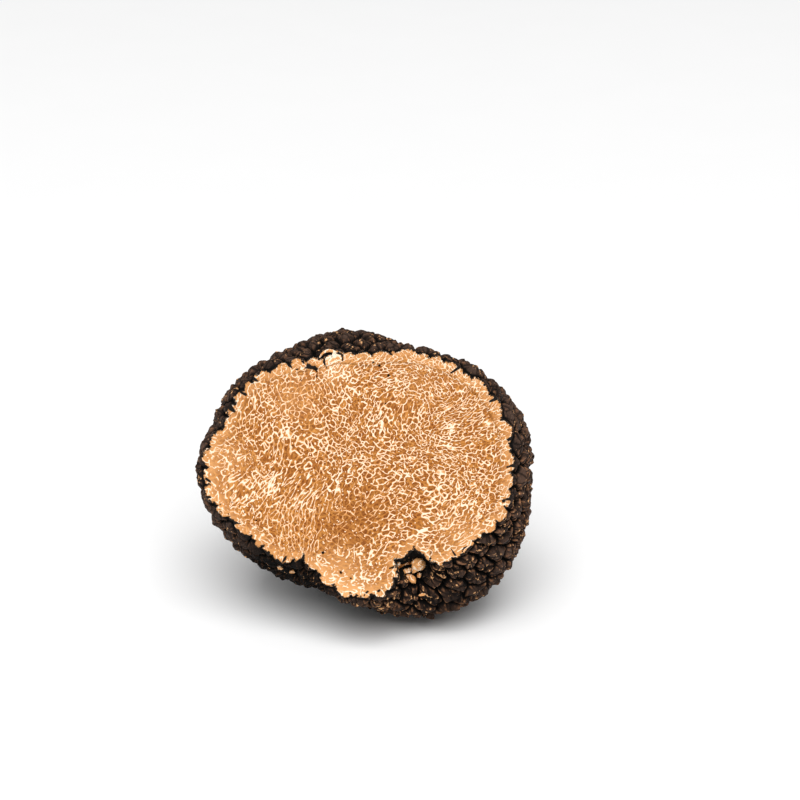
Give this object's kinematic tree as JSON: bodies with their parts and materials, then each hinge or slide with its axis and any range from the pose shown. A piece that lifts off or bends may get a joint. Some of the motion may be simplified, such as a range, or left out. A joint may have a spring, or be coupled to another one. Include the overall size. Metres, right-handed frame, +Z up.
{
  "type": "black truffle",
  "caption": "Black truffle with one side sliced off: warty dark skin all round, marbled flesh on the flat cut face, standing on a small flat spot.",
  "frame": {"origin": "the middle of the flat spot that it stands on", "axes": "+Z up, +X to the right along the longest extent, and the cut face looks towards -Y, leaning back by 28 degrees and turned 6 degrees towards -X"},
  "size_m": [0.0561, 0.0439, 0.0471],
  "materials": {
    "skin": "dry warty fungus skin, matt with a faint sheen",
    "flesh": "freshly cut fungus flesh, tan with cream veins, satin"
  },
  "bodies": {
    "root": {"truffle": "skin"}
  },
  "joints": []
}
